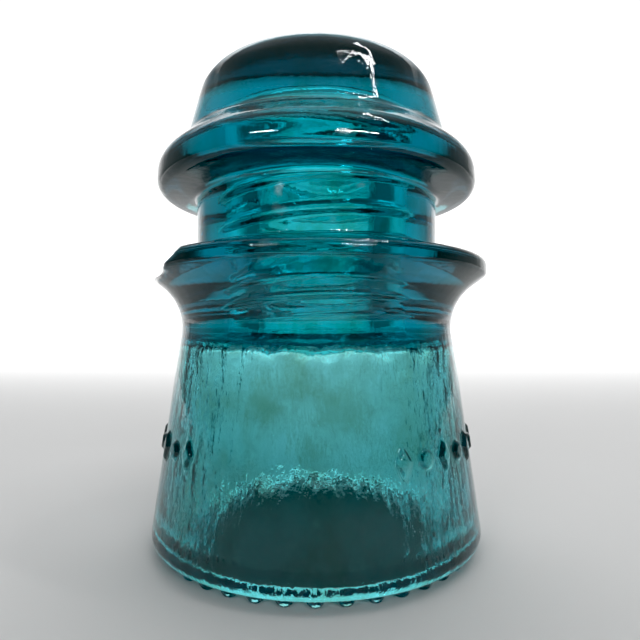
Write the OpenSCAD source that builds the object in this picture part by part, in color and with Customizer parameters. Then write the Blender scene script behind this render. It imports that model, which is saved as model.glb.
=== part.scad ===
// Pin-type glass insulator for a line wire, pressed in one piece.
// The origin is on the axis, at the tips of the drip points that it stands on.
// +Z runs up the axis, -Y is the front, and the ledge is chipped between -Y and -X.

/* [Overall] */
// Height over everything, drip points to crown
total_h = 98; // [96:0.5:98.5]
// Radius at which the outside of the skirt would meet the base without its rounding
base_r = 33.3; // [32.5:0.1:34.5]
// Height of the drip points below the base
drip_h = 1.6; // [1.2:0.1:2.2]

/* [Skirt] */
// Radius of the waist corner under the ledge
waist_r = 26.6; // [26:0.1:28]
// Height of the waist corner
waist_z = 47.5; // [46.5:0.1:48.5]
// Rounding of the waist
waist_round = 10; // [8:0.5:11]
// Rounding of the outer edge of the base
base_round = 2.2; // [1.5:0.1:3]

/* [Ledge] */
// Radius of the lower wire ledge
ledge_r = 34; // [33.5:0.1:35]
// Height of the lower edge of the ledge's rim
ledge_low_z = 52.8; // [52.4:0.1:53.4]
// Height of the upper edge of the ledge's rim
ledge_top_z = 55.6; // [55.4:0.1:56]

/* [Wire groove] */
// Radius of the neck that the tie wire goes around
neck_r = 24.4; // [23.5:0.1:25]
// Height of the foot of the neck
neck_low_z = 57.6; // [57:0.1:58.2]
// Height of the top of the neck
neck_top_z = 68.6; // [68:0.1:68.8]

/* [Flange] */
// Radius of the upper flange
flange_r = 31.9; // [31:0.1:33]
// Height of the middle of the flange's rim
flange_z = 71.8; // [71.6:0.1:72.4]
// Thickness of the flange's round rim
flange_rim_t = 5.2; // [4.8:0.1:5.4]

/* [Dome] */
// Radius of the dome's shoulder corner
shoulder_r = 23.3; // [22.8:0.1:24]
// Height of the dome's shoulder corner
shoulder_z = 91.2; // [90.5:0.1:91.5]
// Rounding of the shoulder
shoulder_round = 6.5; // [5:0.5:7]
// Rounding of the crown
crown_round = 38; // [30:1:38]

/* [Inside] */
// Radius of the skirt's hollow at its mouth
hollow_r = 25.6; // [24:0.1:26]
// Radius of the skirt's hollow under its ceiling
ceiling_r = 22.4; // [20:0.1:23]
// Height of the ceiling, where the pin hole starts
ceiling_z = 40; // [39:0.5:41]
// Rounding of the inner edge of the base
mouth_round = 1.2; // [0.8:0.1:2]

/* [Pin hole] */
// Radius of the pin hole at the crest of its thread
pin_r = 12; // [11.8:0.1:12.2]
// Height of the closed end of the pin hole
pin_top_z = 84.5; // [84:0.5:86]
// Rise of the thread in one turn, which is four turns to the inch
thread_pitch = 6.35; // [6.35:0.05:6.5]
// Depth of the thread groove
thread_depth = 1.2; // [1:0.1:1.3]
// Radius of the thread groove's round section
thread_round = 1.05; // [1:0.05:1.15]
// Number of thread turns
thread_turns = 5; // [4:1:5]

/* [Raised marks and chip] */
// Number of plain raised marks in each group on the skirt
mark_count = 7; // [3:1:9]
// Angle between neighbouring marks, in degrees
mark_step = 9; // [9:1:11]
// Height of one mark
mark_h = 5.6; // [4:0.1:6]
// Relief of a mark above the skirt
mark_relief = 0.6; // [0.4:0.1:0.8]
// Number of drip points around the base
drip_count = 40; // [36:1:42]
// Angle of the chip's middle, from the front towards -X, in degrees
chip_angle = 72; // [60:1:80]
// Distance of the chip's face from the axis, at the middle of the ledge's rim
chip_depth_r = 29; // [28.5:0.1:31]

/* [Hidden] */
// Angle between points on a round stretch of an outline
arc_step = 6;
// Rounding of the ledge's and the flange's rims, and of the corners where the neck meets the flares
rim_low_round = 1.2;
rim_top_round = 1.6;
flange_low_round = 1.8;
flange_top_round = 5;
groove_round = 1.1;
// Foot of the dome, where its wall meets the slope down to the flange's rim
foot_r = flange_r - 5.3;
foot_z = flange_z + 7.3;
foot_round = 3;
// Corner between the crown and the straight slope of the shoulder
crown_corner_r = 11.1;
// Ring on which the drip points stand, and their radius
drip_ring_r = base_r - 3.6;
drip_r = drip_h;
// Height of the base, which the drip points hang below
base_z = drip_h;
// Lead-in of the pin hole and rounding of its closed end
lead_in = 1;
pin_end_round = 5.5;
ceiling_round = 2.5;
// First turn of the thread, and the circle that its section's centre runs on
thread_start_z = ceiling_z + 7;
thread_path_r = pin_r + thread_depth - thread_round;
thread_tilt = asin(thread_pitch / 4 / thread_path_r);
// How far neighbouring half rings lap, in degrees, and the difference between their radii
thread_lap = 2;
thread_step = 0.05;
// Height of the middle of the marks, and the widths of the two kinds of mark
mark_z = 21.2;
mark_wide = 3.2;
mark_sink = 1.5;
// The groups of marks start at these angles from the front, to +X and to -X
mark_starts = [27, -45 - (mark_count - 1) * mark_step];
// Slope of the skirt's outside, as radius lost per millimetre of height
skirt_slope = (base_r - waist_r) / (waist_z - base_z);
// Lean of the chip's face, and the height down to which the rim is broken away
chip_lean = 43;
chip_mid_z = 55;
chip_floor_z = 52.3;
chip_size = 40;
$fn = 96;

function unit(v) = v / norm(v);

// Points of a tangent arc of radius f at corner b of the path a, b, c
function corner_arc(a, b, c, f) =
    let (
        to_a = unit(a - b),
        to_c = unit(c - b),
        half = acos(to_a * to_c) / 2,
        middle = b + unit(to_a + to_c) * f / sin(half),
        from = b + to_a * f / tan(half) - middle,
        to = b + to_c * f / tan(half) - middle,
        start = atan2(from[1], from[0]),
        turn = (atan2(to[1], to[0]) - start + 540) % 360 - 180,
        steps = max(2, ceil(abs(turn) / arc_step))
    )
    [for (i = [0:steps])
        middle + f * [cos(start + turn * i / steps), sin(start + turn * i / steps)]];

// A closed outline from corners [r, z, rounding], where a rounding of 0 leaves a sharp corner
function rounded(corners) =
    let (count = len(corners))
    [for (i = [0:count - 1])
        let (
            before = corners[(i + count - 1) % count],
            here = corners[i],
            after = corners[(i + 1) % count],
            b = [here[0], here[1]]
        )
        each here[2] > 0
            ? corner_arc([before[0], before[1]], b, [after[0], after[1]], here[2])
            : [b]];

// The outside, from the base up to the crown
outside = [
    [base_r, base_z, base_round],
    [waist_r, waist_z, waist_round],
    [ledge_r, ledge_low_z, rim_low_round],
    [ledge_r, ledge_top_z, rim_top_round],
    [neck_r, neck_low_z, groove_round],
    [neck_r, neck_top_z, groove_round],
    [flange_r, flange_z - flange_rim_t / 2, flange_low_round],
    [flange_r, flange_z + flange_rim_t / 2, flange_top_round],
    [foot_r, foot_z, foot_round],
    [shoulder_r, shoulder_z, shoulder_round],
    [crown_corner_r, total_h, crown_round],
    [0, total_h, 0]
];

// The inside, from the closed end of the pin hole down to the mouth of the skirt
inside = [
    [0, pin_top_z, 0],
    [pin_r, pin_top_z, pin_end_round],
    [pin_r, ceiling_z + lead_in, 0],
    [pin_r + lead_in, ceiling_z, 0],
    [ceiling_r, ceiling_z, ceiling_round],
    [hollow_r, base_z, mouth_round]
];

// The thread groove: two half rings to a turn, leaning opposite ways so that they join up.
// They run a little into each other, and every second one is a touch slimmer than its neighbours.
module thread_groove() {
    for (i = [0:2 * thread_turns - 1])
        let (second = i % 2)
        translate([0, 0, thread_start_z + i * thread_pitch / 2])
            rotate([0, second ? -thread_tilt : thread_tilt, 0])
                rotate([0, 0, 180 * second - thread_lap])
                    rotate_extrude(angle = 180 + 2 * thread_lap)
                        translate([thread_path_r, 0])
                            circle(r = thread_round - second * thread_step);
}

// The drip points that the base stands on
module drip_points() {
    for (i = [0:drip_count - 1])
        rotate([0, 0, i * 360 / drip_count])
            translate([0, -drip_ring_r, drip_r])
                sphere(r = drip_r);
}

// One raised mark, alternately a lozenge and a round stud, standing on the leaning skirt
module mark(angle, round_stud) {
    skirt_r = base_r - skirt_slope * (mark_z - base_z);
    rotate([0, 0, angle])
        translate([0, -skirt_r, mark_z])
            rotate([90 - atan(skirt_slope), 0, 0])
                translate([0, 0, -mark_sink])
                    if (round_stud)
                        cylinder(h = mark_sink + mark_relief, r = mark_wide / 2);
                    else
                        linear_extrude(height = mark_sink + mark_relief)
                            polygon([
                                [-mark_wide / 2, 0], [0, -mark_h / 2],
                                [mark_wide / 2, 0], [0, mark_h / 2]
                            ]);
}

module marks() {
    for (start = mark_starts)
        for (i = [0:mark_count - 1])
            mark(start + i * mark_step, i % 2 == 1);
}

// The piece broken out of the ledge's rim: a leaning flat face above a level floor
module chip() {
    rotate([0, 0, -chip_angle])
        intersection() {
            translate([0, -chip_depth_r, chip_mid_z])
                rotate([-chip_lean, 0, 0])
                    translate([-chip_size / 2, -chip_size, -chip_size / 2])
                        cube(chip_size);
            translate([-chip_size / 2, -ledge_r - 2, chip_floor_z])
                cube([chip_size, chip_size, chip_size / 4]);
        }
}

module insulator_glass() {
    color([0.10, 0.52, 0.55, 0.8])
        difference() {
            union() {
                rotate_extrude()
                    polygon(rounded(concat(outside, inside)));
                drip_points();
                marks();
            }
            thread_groove();
            chip();
        }
}

insulator_glass();
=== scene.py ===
import math

import bpy
import numpy as np
from mathutils import Euler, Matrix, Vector, noise


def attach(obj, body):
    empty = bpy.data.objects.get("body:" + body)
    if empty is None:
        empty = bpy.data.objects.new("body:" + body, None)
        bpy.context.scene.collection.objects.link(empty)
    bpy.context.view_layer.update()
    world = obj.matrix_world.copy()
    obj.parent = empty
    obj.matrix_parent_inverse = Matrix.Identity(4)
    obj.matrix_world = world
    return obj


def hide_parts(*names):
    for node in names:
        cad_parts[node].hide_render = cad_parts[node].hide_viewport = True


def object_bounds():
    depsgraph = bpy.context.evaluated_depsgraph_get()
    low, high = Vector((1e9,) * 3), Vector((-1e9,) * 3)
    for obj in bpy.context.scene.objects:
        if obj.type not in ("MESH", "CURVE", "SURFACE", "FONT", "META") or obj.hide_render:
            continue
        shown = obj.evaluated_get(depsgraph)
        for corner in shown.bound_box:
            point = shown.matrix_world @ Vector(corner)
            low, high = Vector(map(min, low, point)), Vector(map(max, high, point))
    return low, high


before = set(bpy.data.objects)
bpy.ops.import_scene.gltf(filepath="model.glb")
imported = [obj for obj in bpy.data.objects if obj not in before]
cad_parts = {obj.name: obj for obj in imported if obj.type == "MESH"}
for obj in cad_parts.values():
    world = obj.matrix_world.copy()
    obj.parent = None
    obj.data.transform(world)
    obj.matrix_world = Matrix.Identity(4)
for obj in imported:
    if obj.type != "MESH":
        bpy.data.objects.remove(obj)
cad_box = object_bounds()

# ---------------------------------------------------------------- sizes, in millimetres
MM = 0.001
HEIGHT = cad_box[1].z / MM
LEDGE_R = cad_box[1].x / MM

# the outside and the inside of the glass as corners (radius, height, rounding)
BASE_Z = 1.6
BASE_R = LEDGE_R - 0.7
WAIST_R, WAIST_Z = 26.6, 47.5
NECK_R = 24.4
FLANGE_R, FLANGE_Z, FLANGE_RIM = 31.9, 71.8, 5.2
HOLLOW_R, CEILING_R, CEILING_Z = 25.6, 22.4, 40.0
PIN_R, PIN_TOP_Z, LEAD_IN = 12.0, 84.5, 1.0
OUTSIDE = [
    (0.0, HEIGHT, 0.0),
    (11.1, HEIGHT, 38.0),
    (23.3, 91.2, 6.5),
    (FLANGE_R - 5.3, FLANGE_Z + 7.3, 3.0),
    (FLANGE_R, FLANGE_Z + FLANGE_RIM / 2, 5.0),
    (FLANGE_R, FLANGE_Z - FLANGE_RIM / 2, 1.8),
    (NECK_R, 68.6, 1.1),
    (NECK_R, 57.6, 1.1),
    (LEDGE_R, 55.6, 1.6),
    (LEDGE_R, 52.8, 1.2),
    (WAIST_R, WAIST_Z, 10.0),
    (BASE_R, BASE_Z, 2.2),
]
INSIDE = [
    (HOLLOW_R, BASE_Z, 1.2),
    (CEILING_R, CEILING_Z, 2.5),
    (PIN_R + LEAD_IN, CEILING_Z, 0.4),
    (PIN_R, CEILING_Z + LEAD_IN, 0.4),
    (PIN_R, PIN_TOP_Z, 5.5),
    (0.0, PIN_TOP_Z, 0.0),
]

# thread of the pin hole: its rise in a turn, depth, half width, and the heights it runs between
THREAD_PITCH, THREAD_DEPTH, THREAD_HALF = 6.35, 1.2, 1.15 * 1.25
THREAD_LOW, THREAD_HIGH = CEILING_Z + 5.0, 79.5

# drip points under the base: their number, their ring's radius and their own
DRIP_COUNT, DRIP_RING_R, DRIP_R = 40, BASE_R - 3.6, 1.6

# raised marks on the skirt, alternately a lozenge and a round stud
MARK_COUNT, MARK_STEP, MARK_Z = 7, 9.0, 21.2
MARK_WIDE, MARK_TALL, MARK_RELIEF = 3.2, 5.6, 0.6
MARK_STARTS = (27.0, -45.0 - (MARK_COUNT - 1) * MARK_STEP)
# how fast a lozenge rises inwards, and where a mark's rounded edge starts and ends
LOZENGE_RISE, MARK_EDGE = 1.4, (-0.12, 0.5)

# the chip in the ledge's rim: its direction from the front in degrees, a point that its leaning
# face goes through, the height it reaches down to, and the largest radius of the face there
CHIP_ANGLE = -72.0
CHIP_R, CHIP_Z = 29.0, 55.0
CHIP_FLOOR, CHIP_FOOT_R = 51.9, 31.0
CHIP_LEAN = math.tan(math.radians(46.0))
CHIP_HALF = 3.2
NO_CHIP = 99.0

# ripples fade out towards the axis inside this radius
RIPPLE_FADE_R = 8.0

# longest steps between rows of the mesh
OUTER_GAP, MARK_GAP, DRIP_GAP, CHIP_GAP = 1.6, 0.3, 0.36, 0.33
INNER_GAP, CEILING_GAP, THREAD_GAP = 1.2, 0.6, 0.42
OUTER_ARC_GAP, INNER_ARC_GAP = 0.6, 0.5

# how many columns a row of the mesh has: plain stretches, rippled or chipped ones, and fine relief
PLAIN = 120
RIPPLED = 2 * PLAIN
RELIEF = 2 * RIPPLED

# ---------------------------------------------------------------- the glass and the floor, in metres
CLEAN_GLASS, GRIMY_GLASS = (0.98, 1.0, 0.99, 1), (0.77, 0.73, 0.62, 1)
GLASS_IOR, SPOT_ROUGHNESS = 1.52, 0.16
DEPTH_COLOUR, DEPTH_DENSITY = (0.22, 0.795, 0.835, 1), 200.0
CHILL_DEPTH, PIT_SHARE = 0.00035, 0.25
# the floor's pale tone, and the darker tone painted inside the hollow as shade
FLOOR_PALE, FLOOR_PAINTED_SHADE = 0.70, 0.10
FLOOR_REACH = 40 * HEIGHT * MM


def unit(v):
    """The vector v scaled to a length of 1."""
    return v / np.linalg.norm(v)


def corner_arc(before, here, after, radius, gap):
    """Points of a tangent arc of that radius at a corner, at most gap apart."""
    to_a, to_c = unit(before - here), unit(after - here)
    half = math.acos(float(to_a @ to_c)) / 2
    middle = here + unit(to_a + to_c) * radius / math.sin(half)
    start = here + to_a * radius / math.tan(half) - middle
    end = here + to_c * radius / math.tan(half) - middle
    angle = math.atan2(start[1], start[0])
    turn = (math.atan2(end[1], end[0]) - angle + math.pi) % (2 * math.pi) - math.pi
    steps = max(5, math.ceil(abs(turn) * radius / gap))
    at = angle + turn * np.linspace(0, 1, steps + 1)
    return middle + radius * np.stack([np.cos(at), np.sin(at)], axis=1)


def rounded(corners, gap):
    """A path through the corners, rounded as each one says."""
    path = [np.array([corners[0][:2]])]
    for before, here, after in zip(corners, corners[1:], corners[2:]):
        b, h, a = (np.array(c[:2]) for c in (before, here, after))
        path.append(corner_arc(b, h, a, here[2], gap) if here[2] else h[None])
    path.append(np.array([corners[-1][:2]]))
    return np.concatenate(path)


def spaced(path, gap_at):
    """The path cut into steps that are at most gap_at(point) long."""
    rows = [path[0]]
    for a, b in zip(path, path[1:]):
        gap = gap_at((a + b) / 2)
        steps = max(1, math.ceil(np.linalg.norm(b - a) / gap))
        rows.extend(a + (b - a) * i / steps for i in range(1, steps + 1))
    return np.array(rows)


def outside_gap(point):
    """Rows lie close where the marks, the drip points and the chip are."""
    r, z = point
    if abs(z - MARK_Z) < MARK_TALL / 2 + 0.6:
        return MARK_GAP
    if z < BASE_Z + 1:
        return DRIP_GAP
    if abs(z - CHIP_Z) < CHIP_HALF and r > CHIP_R:
        return CHIP_GAP
    return OUTER_GAP


def inside_gap(point):
    """Rows lie close where the thread is, and fairly close near the hollow's ceiling."""
    r, z = point
    if z > CEILING_Z + LEAD_IN and r > PIN_R - 1:
        return THREAD_GAP
    if z > CEILING_Z - 5:
        return CEILING_GAP
    return INNER_GAP


def profile():
    """Rows (radius, height) down the outside and up the inside, and where the inside starts."""
    up = rounded([OUTSIDE[-1]] + INSIDE, INNER_ARC_GAP)[1:]
    down = np.concatenate([rounded(OUTSIDE + [INSIDE[0]], OUTER_ARC_GAP)[:-1], up[:1]])
    outer = spaced(down, outside_gap)[:-1]
    return np.concatenate([outer, spaced(up, inside_gap)]), len(outer)


def normals(rows):
    """Unit normals (radial, up) of the rows, pointing out of the glass."""
    along = np.gradient(rows, axis=0)
    out = np.stack([-along[:, 1], along[:, 0]], axis=1)
    return out / np.linalg.norm(out, axis=1, keepdims=True)


def smooth(edge0, edge1, x):
    """A smooth step from 0 at one edge to 1 at the other."""
    t = np.clip((x - edge0) / (edge1 - edge0), 0, 1)
    return t * t * (3 - 2 * t)


def ripple(points, scale, seed):
    """Smooth noise from -1 to 1 at points in millimetres, with a size of scale along each axis."""
    shift = Vector((seed * 17.3, seed * 5.9, seed * 11.1))
    inverse = Vector((1 / scale[0], 1 / scale[1], 1 / scale[2]))
    return np.array([noise.noise(Vector(p) * inverse + shift) for p in points])


def angle_from(theta, centre):
    """Angle between theta and centre, in degrees, from -180 to 180."""
    return (theta - centre + 180) % 360 - 180


def mark_height(theta, z, r):
    """Relief of the raised marks at an angle in degrees and a height."""
    relief = np.zeros_like(theta)
    for start in MARK_STARTS:
        for i in range(MARK_COUNT):
            across = np.radians(angle_from(theta, start + i * MARK_STEP)) * r
            up = z - MARK_Z
            if i % 2:
                inside = 1 - np.hypot(across, up) / (MARK_WIDE / 2)
                edge = inside * MARK_WIDE / 2
            else:
                inside = 1 - np.abs(across) / (MARK_WIDE / 2) - np.abs(up) / (MARK_TALL / 2)
                edge = inside * LOZENGE_RISE
            relief = np.maximum(relief, MARK_RELIEF * smooth(*MARK_EDGE, edge))
    return relief


def drip_depth(theta, r):
    """How far the round drip points hang below the base at an angle and a radius."""
    step = 360 / DRIP_COUNT
    near = np.radians(angle_from(theta + step / 2, 0) % step - step / 2) * r
    off = np.hypot(near, r - DRIP_RING_R) / DRIP_R
    return BASE_Z * np.sqrt(np.clip(1 - off * off, 0, 1))


def thread_depth(theta, z):
    """Depth of the true helical thread groove in the pin hole."""
    turn = (z - THREAD_LOW) / THREAD_PITCH - theta / 360
    off = (turn - np.round(turn)) * THREAD_PITCH
    groove = THREAD_DEPTH * smooth(1.0, 0.15, np.abs(off) / THREAD_HALF)
    run_in = smooth(THREAD_LOW - 1.0, THREAD_LOW + 1.5, z)
    run_out = smooth(THREAD_HIGH, THREAD_HIGH - 2, z)
    return groove * run_in * run_out


def chip_radius(theta, z, points):
    """Radius that the chip leaves of the ledge's rim. It's far out where there is no chip."""
    away = np.radians(angle_from(theta, CHIP_ANGLE))
    face = np.minimum(CHIP_R - CHIP_LEAN * (z - CHIP_Z), CHIP_FOOT_R)
    shell = 0.35 * ripple(points, (3.0, 3.0, 1.6), 8) + 0.15 * ripple(points, (1.1, 1.1, 0.8), 9)
    radius = (face + shell) / np.maximum(np.cos(away), 0.2)
    return np.where(z > CHIP_FLOOR, radius, NO_CHIP)


def chill_at(row, inner):
    """How strongly the chill ripples mark the glass at a row, from 0 to 1."""
    if not inner:
        return 0.12 + 0.13 * smooth(WAIST_Z, WAIST_Z - 10, row[1])
    return 1.0 - 0.8 * smooth(CEILING_Z - 1, CEILING_Z + 2, row[1])


def near_axis(r0):
    """A factor that fades the ripples out towards the axis."""
    return min(1.0, r0 / RIPPLE_FADE_R)


def hollow_relief(here, z0):
    """Chill ripples of the hollow, which get rougher towards its ceiling."""
    amount = 0.16 * ripple(here, (3.4, 3.4, 11), 1) + 0.06 * ripple(here, (1.5, 1.5, 3.0), 2)
    rough = 0.35 * smooth(CEILING_Z - 8, CEILING_Z - 1, z0)
    amount += rough * ripple(here, (3.0, 3.0, 3.0), 5)
    return amount * smooth(BASE_Z, BASE_Z + 3, z0)


def inner_relief(theta, here, r0, z0):
    """How far the glass comes out of its plain shape at a row of the inside."""
    if z0 < CEILING_Z - 0.01 or r0 > PIN_R + LEAD_IN:
        amount = hollow_relief(here, z0)
    else:
        amount = 0.12 * ripple(here, (5, 5, 4), 3)
    if r0 > PIN_R - 1 and z0 > CEILING_Z:
        amount = amount - thread_depth(theta, here[:, 2])
    return amount * near_axis(r0)


def outer_relief(theta, here, r0, z0):
    """How far the glass comes out of its plain shape at a row of the outside."""
    amount = -0.06 - 0.06 * ripple(here, (16, 16, 13), 4)
    amount *= near_axis(r0) * smooth(-0.1, 1.5, z0 - BASE_Z)
    if abs(z0 - MARK_Z) < MARK_TALL:
        amount = amount + mark_height(theta, here[:, 2], r0)
    return amount


def shaped_ring(row, normal, count, inner):
    """The points of one row round the axis, with all that departs from the plain revolved shape."""
    r0, z0 = row
    theta = np.arange(count) * 360.0 / count
    a = np.radians(theta)
    here = np.stack([r0 * np.sin(a), -r0 * np.cos(a), np.full(count, z0)], axis=1)
    amount = inner_relief(theta, here, r0, z0) if inner else outer_relief(theta, here, r0, z0)
    radial, up = normal
    r = r0 + radial * amount
    z = z0 + up * amount
    if abs(r0 - DRIP_RING_R) < 2 * DRIP_R and z0 < BASE_Z + 1:
        z = z - drip_depth(theta, r) * smooth(BASE_Z + 1, BASE_Z, z0)
    if not inner and r0 > NECK_R + 2 and abs(z0 - CHIP_Z) < 5:
        r = np.minimum(r, chip_radius(theta, z, here))
    r = np.maximum(r, 0.0)
    return np.stack([r * np.sin(a), -r * np.cos(a), z], axis=1) * MM


def stitched(upper, lower, n_upper, n_lower):
    """Faces between two rings that start at those vertex numbers.

    Their counts are equal or differ by a factor of two.
    """
    if n_upper == n_lower:
        n = n_upper
        return [(upper + i, lower + i, lower + (i + 1) % n, upper + (i + 1) % n) for i in range(n)]
    faces = []
    if n_lower > n_upper:
        for i in range(n_upper):
            a, b = upper + i, upper + (i + 1) % n_upper
            c, d, e = (lower + (2 * i + k) % n_lower for k in range(3))
            faces += [(a, c, d), (a, d, b), (b, d, e)]
        return faces
    for i in range(n_lower):
        a, b = lower + i, lower + (i + 1) % n_lower
        c, d, e = (upper + (2 * i + k) % n_upper for k in range(3))
        faces += [(a, d, c), (a, b, d), (b, e, d)]
    return faces


def columns(row, inner):
    """How many columns a row has. Neighbouring rows differ by a factor of two at most."""
    r, z = row
    if z < BASE_Z + 1:
        return RELIEF
    if inner:
        return PLAIN if z > CEILING_Z + LEAD_IN / 2 else RIPPLED
    if abs(z - MARK_Z) < MARK_TALL / 2 + 1.0:
        return RELIEF
    if z < WAIST_Z - 20 or 50 < z < 58:
        return RIPPLED
    return PLAIN


def ring_faces(counts):
    """Faces between neighbouring rings, and the two fans that close the mesh at the axis."""
    starts = np.concatenate([[0], np.cumsum(counts)]).tolist()
    faces = []
    for i in range(len(counts) - 1):
        faces += stitched(starts[i], starts[i + 1], counts[i], counts[i + 1])
    crown, closed_end = starts[-1], starts[-1] + 1
    first, last, at = counts[0], counts[-1], starts[-2]
    faces += [(crown, i, (i + 1) % first) for i in range(first)]
    faces += [(closed_end, at + (i + 1) % last, at + i) for i in range(last)]
    return faces


def glass_mesh():
    """One closed mesh, ring by ring from the crown down the outside and up the inside."""
    rows, first_inner = profile()
    outs = normals(rows)
    rings, chills = [], []
    for i in range(1, len(rows) - 1):
        inner = i >= first_inner
        count = columns(rows[i], inner)
        rings.append(shaped_ring(rows[i], outs[i], count, inner))
        chills.append(np.full(count, chill_at(rows[i], inner)))
    tips = np.array([[0, 0, rows[0][1]], [0, 0, rows[-1][1]]]) * MM
    points = np.concatenate(rings + [tips])
    chill = np.concatenate(chills + [np.full(len(tips), 0.1)])
    mesh = bpy.data.meshes.new("insulator_glass_body")
    mesh.from_pydata(points.tolist(), [], ring_faces([len(ring) for ring in rings]))
    mesh.attributes.new("chill", "FLOAT", "POINT").data.foreach_set("value", chill)
    mesh.validate()
    mesh.shade_smooth()
    mesh.update()
    return mesh


def socket(node, name, value):
    """Set a plain value on a node's input."""
    node.inputs[name].default_value = value


def map_range(nodes, links, source, low, high, to_low, to_high):
    """A smooth step from one level to another as the source goes from low to high."""
    step = nodes.new("ShaderNodeMapRange")
    step.interpolation_type = "SMOOTHSTEP"
    for name, value in (("From Min", low), ("From Max", high), ("To Min", to_low), ("To Max", to_high)):
        socket(step, name, value)
    links.new(source, step.inputs["Value"])
    return step.outputs["Result"]


def combined(nodes, links, operation, terms):
    """The terms added or multiplied together."""
    total = terms[0]
    for term in terms[1:]:
        step = nodes.new("ShaderNodeMath")
        step.operation = operation
        links.new(total, step.inputs[0])
        links.new(term, step.inputs[1])
        total = step.outputs[0]
    return total


def noise_pattern(nodes, links, place, scale, detail):
    """Procedural noise, its scale given per metre along each axis."""
    stretch = nodes.new("ShaderNodeVectorMath")
    stretch.operation = "MULTIPLY"
    links.new(place, stretch.inputs[0])
    stretch.inputs[1].default_value = scale
    pattern = nodes.new("ShaderNodeTexNoise")
    socket(pattern, "Scale", 1.0)
    socket(pattern, "Detail", detail)
    links.new(stretch.outputs[0], pattern.inputs["Vector"])
    return pattern.outputs[0]


def chill_bump(nodes, links, place, shader):
    """Chill streaks and fine pits, as strong as the mesh's chill attribute says."""
    strength = nodes.new("ShaderNodeAttribute")
    strength.attribute_name = "chill"
    relief = nodes.new("ShaderNodeMath")
    relief.operation = "MULTIPLY_ADD"
    links.new(noise_pattern(nodes, links, place, (1500, 1500, 900), 2.0), relief.inputs[0])
    relief.inputs[1].default_value = PIT_SHARE
    links.new(noise_pattern(nodes, links, place, (620, 620, 130), 3.0), relief.inputs[2])
    bump = nodes.new("ShaderNodeBump")
    socket(bump, "Distance", CHILL_DEPTH)
    links.new(relief.outputs[0], bump.inputs["Height"])
    links.new(strength.outputs["Fac"], bump.inputs["Strength"])
    links.new(bump.outputs["Normal"], shader.inputs["Normal"])


def dusty_spots(nodes, links, place, shader):
    """Spots that are slightly duller than the rest of the glass."""
    dust = noise_pattern(nodes, links, place, (240, 240, 240), 6.0)
    spots = map_range(nodes, links, dust, 0.56, 0.72, 0.0, SPOT_ROUGHNESS)
    links.new(spots, shader.inputs["Roughness"])


def grime_film(nodes, links, place, shader):
    """A patchy, brownish film that dims the glass a little."""
    grime = noise_pattern(nodes, links, place, (150, 150, 110), 7.0)
    film = nodes.new("ShaderNodeMix")
    film.data_type = "RGBA"
    links.new(map_range(nodes, links, grime, 0.46, 0.64, 0.0, 1.0), film.inputs["Factor"])
    film.inputs["A"].default_value = CLEAN_GLASS
    film.inputs["B"].default_value = GRIMY_GLASS
    links.new(film.outputs["Result"], shader.inputs["Base Color"])


def glass_material():
    """Blue-green pressed glass, coloured by absorption, with ripples, dust and grime on its skin."""
    mat = bpy.data.materials.new("blue_green_glass")
    mat.use_nodes = True
    nodes, links = mat.node_tree.nodes, mat.node_tree.links
    shader = nodes["Principled BSDF"]
    socket(shader, "Transmission Weight", 1.0)
    socket(shader, "IOR", GLASS_IOR)
    place = nodes.new("ShaderNodeTexCoord").outputs["Object"]
    chill_bump(nodes, links, place, shader)
    dusty_spots(nodes, links, place, shader)
    grime_film(nodes, links, place, shader)
    depth = nodes.new("ShaderNodeVolumeAbsorption")
    socket(depth, "Color", DEPTH_COLOUR)
    socket(depth, "Density", DEPTH_DENSITY)
    links.new(depth.outputs["Volume"], nodes["Material Output"].inputs["Volume"])
    return mat


def plain_material(name, colour, rough):
    """One colour and one roughness."""
    mat = bpy.data.materials.new(name)
    mat.use_nodes = True
    shader = mat.node_tree.nodes["Principled BSDF"]
    socket(shader, "Base Color", (*colour, 1))
    socket(shader, "Roughness", rough)
    return mat


def add_mesh(name, mesh, mat):
    """Put a mesh or a curve into the scene with its material."""
    piece = bpy.data.objects.new(name, mesh)
    bpy.context.scene.collection.objects.link(piece)
    mesh.materials.append(mat)
    return piece


def floor():
    """A plain pale floor, with shade painted on it as a darker tone inside the hollow, where hardly any
    light reaches it.
    """
    far = FLOOR_REACH
    mesh = bpy.data.meshes.new("floor")
    corners = [(-far, -far, 0), (far, -far, 0), (far, far, 0), (-far, far, 0)]
    mesh.from_pydata(corners, [], [(0, 1, 2, 3)])
    mat = plain_material("pale_floor", (FLOOR_PALE, FLOOR_PALE, FLOOR_PALE), 0.9)
    nodes, links = mat.node_tree.nodes, mat.node_tree.links
    length = nodes.new("ShaderNodeVectorMath")
    length.operation = "LENGTH"
    links.new(nodes.new("ShaderNodeNewGeometry").outputs["Position"], length.inputs[0])
    away = length.outputs["Value"]
    # painted shade: the floor's colour turns from pale to dark inside the hollow's radius
    shade_to, pale_from = HOLLOW_R * MM * 0.92, HOLLOW_R * MM * 1.06
    shade = map_range(nodes, links, away, shade_to, pale_from, FLOOR_PAINTED_SHADE, FLOOR_PALE)
    links.new(shade, nodes["Principled BSDF"].inputs["Base Color"])
    add_mesh("floor", mesh, mat)


def soft_light(name, place, aim, size, spread, power):
    """A rectangular lamp that shines from one place towards another."""
    lamp = bpy.data.lights.new(name, "AREA")
    lamp.shape = "RECTANGLE"
    lamp.size, lamp.size_y = size
    lamp.energy = power
    lamp.spread = math.radians(spread)
    holder = bpy.data.objects.new(name, lamp)
    holder.location = place
    holder.rotation_mode = "QUATERNION"
    holder.rotation_quaternion = (Vector(aim) - Vector(place)).to_track_quat("-Z", "Y")
    bpy.context.scene.collection.objects.link(holder)


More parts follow.
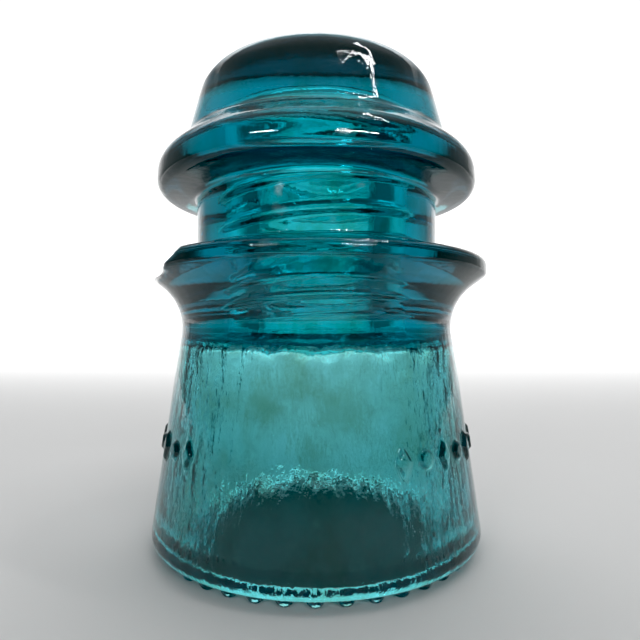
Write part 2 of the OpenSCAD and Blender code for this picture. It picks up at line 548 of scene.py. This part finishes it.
def world_light():
    """A bright, pale backdrop (+Y) that dims above, and darker surroundings nearer the camera."""
    world = bpy.data.worlds.new("studio")
    world.use_nodes = True
    nodes, links = world.node_tree.nodes, world.node_tree.links
    axes = nodes.new("ShaderNodeSeparateXYZ")
    links.new(nodes.new("ShaderNodeTexCoord").outputs["Generated"], axes.inputs[0])
    back, up = axes.outputs["Y"], axes.outputs["Z"]
    backdrop = combined(nodes, links, "MULTIPLY", (
        map_range(nodes, links, back, 0.52, 0.88, 0.0, 0.92),
        map_range(nodes, links, up, 0.45, 0.70, 1.0, 0.3),
    ))
    surroundings = map_range(nodes, links, back, -0.6, 0.5, 0.11, 0.24)
    overhead = map_range(nodes, links, up, 0.72, 0.95, 0.0, 0.25)
    level = combined(nodes, links, "ADD", (backdrop, surroundings, overhead))
    links.new(level, nodes["Background"].inputs["Strength"])
    socket(nodes["Background"], "Color", (1.0, 1.0, 1.0, 1))
    bpy.context.scene.world = world


def lamp_curve():
    """A round tube through bends that all lie at the same reach from the middle of the dome."""
    middle, reach = Vector((0, 0, 0.085)), 0.5
    # of each bend: azimuth from the front and elevation in degrees, radius of the tube in millimetres
    bends = np.array([
        (26.0, 57.1, 1.8),
        (50.5, 54.8, 1.8),
        (63.0, 51.5, 3.2),
        (61.5, 49.2, 4.0),
        (72.0, 69.0, 5.0),
        (95.0, 71.0, 5.0),
    ])
    line = bpy.data.curves.new("bent_lamp", "CURVE")
    line.dimensions = "3D"
    line.bevel_depth = MM
    along = np.linspace(0, len(bends) - 1, 60)
    spline = line.splines.new("POLY")
    spline.points.add(len(along) - 1)
    for point, at in zip(spline.points, along):
        azimuth, height, thick = (np.interp(at, range(len(bends)), column) for column in bends.T)
        way = Vector((0, -1, 0))
        way.rotate(Euler((-math.radians(height), 0, 0)))
        way.rotate(Euler((0, 0, math.radians(azimuth))))
        point.co = (*(middle + reach * way), 1)
        point.radius = thick
    return line


def bent_lamp():
    """A thin bent lamp up on the right, which the dome reflects as a curl of light."""
    mat = plain_material("bent_lamp", (0, 0, 0), 1.0)
    shader = mat.node_tree.nodes["Principled BSDF"]
    socket(shader, "Emission Color", (1, 1, 1, 1))
    socket(shader, "Emission Strength", 36.0)
    lamp = add_mesh("bent_lamp", lamp_curve(), mat)
    lamp.visible_camera = False


def camera():
    """Close to the glass and level, at a height just above the hollow's ceiling.

    The short lens and the small upward shift take in the whole insulator.
    """
    distance, eye_z, aside = 107.0, 41.0, 0.7
    cam = bpy.data.cameras.new("camera")
    cam.sensor_width = 36.0
    cam.lens = 28.6875
    cam.shift_y = 0.0265625
    cam.clip_start = 0.01
    holder = bpy.data.objects.new("camera", cam)
    holder.location = (aside * MM, -distance * MM, eye_z * MM)
    holder.rotation_euler = (math.radians(90), 0, 0)
    bpy.context.scene.collection.objects.link(holder)
    bpy.context.scene.camera = holder


def view_tones():
    """Plain view settings, with the deepest tones cut a little, most of all in red."""
    look = bpy.context.scene.view_settings
    look.view_transform = "Standard"
    look.exposure = 0.35
    look.use_curve_mapping = True
    look.curve_mapping.black_level = (0.011, 0.003, 0.003)
    look.curve_mapping.update()


glass = add_mesh("insulator_glass_body", glass_mesh(), glass_material())
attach(glass, "root")
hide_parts("insulator_glass")
floor()
world_light()
centre = (0, 0, 0.05)
soft_light("right", (0.27, -0.54, 0.285), centre, size=(0.28, 0.008), spread=50, power=0.07)
soft_light("left", (-0.32, -0.51, 0.285), centre, size=(0.20, 0.006), spread=50, power=0.04)
soft_light("behind", (0, 3.2, 0.8), (0, 3.2, 0), size=(5.6, 5.6), spread=104, power=120.0)
bent_lamp()
camera()
view_tones()
